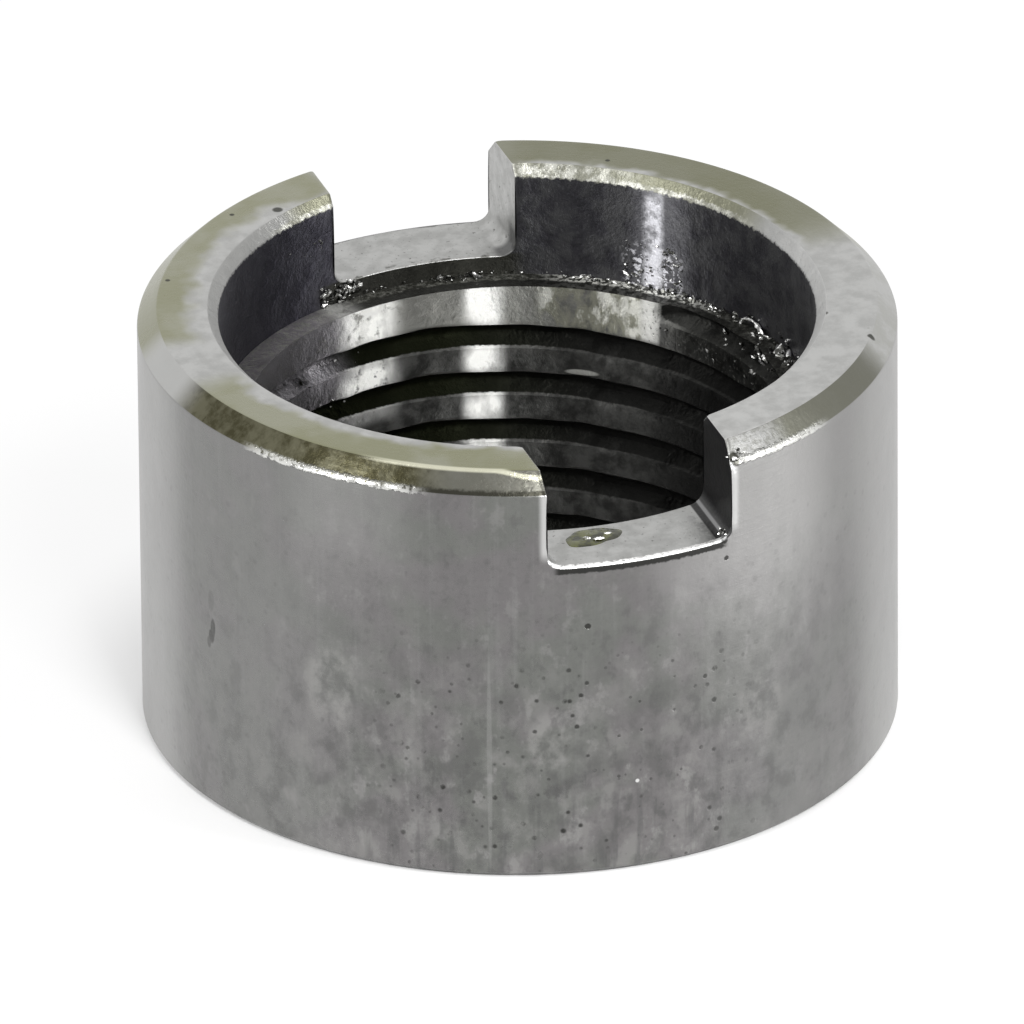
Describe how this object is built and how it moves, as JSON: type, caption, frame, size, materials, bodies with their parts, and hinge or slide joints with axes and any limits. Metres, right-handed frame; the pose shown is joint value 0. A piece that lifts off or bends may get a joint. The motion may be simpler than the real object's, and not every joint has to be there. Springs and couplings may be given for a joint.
{
  "type": "slotted round nut",
  "caption": "Round steel nut with a coarse internal thread, a smooth counterbore above it and a straight driving slot across its top face.",
  "frame": {"origin": "centre of the plain bottom face, on the axis of the thread", "axes": "+Z along the thread's axis towards the slotted end; the driving slot runs along Y and its two walls face +X and -X"},
  "size_m": [0.057, 0.057, 0.0335],
  "materials": {
    "steel": "satin"
  },
  "bodies": {
    "root": {"nut": "steel"}
  },
  "joints": []
}
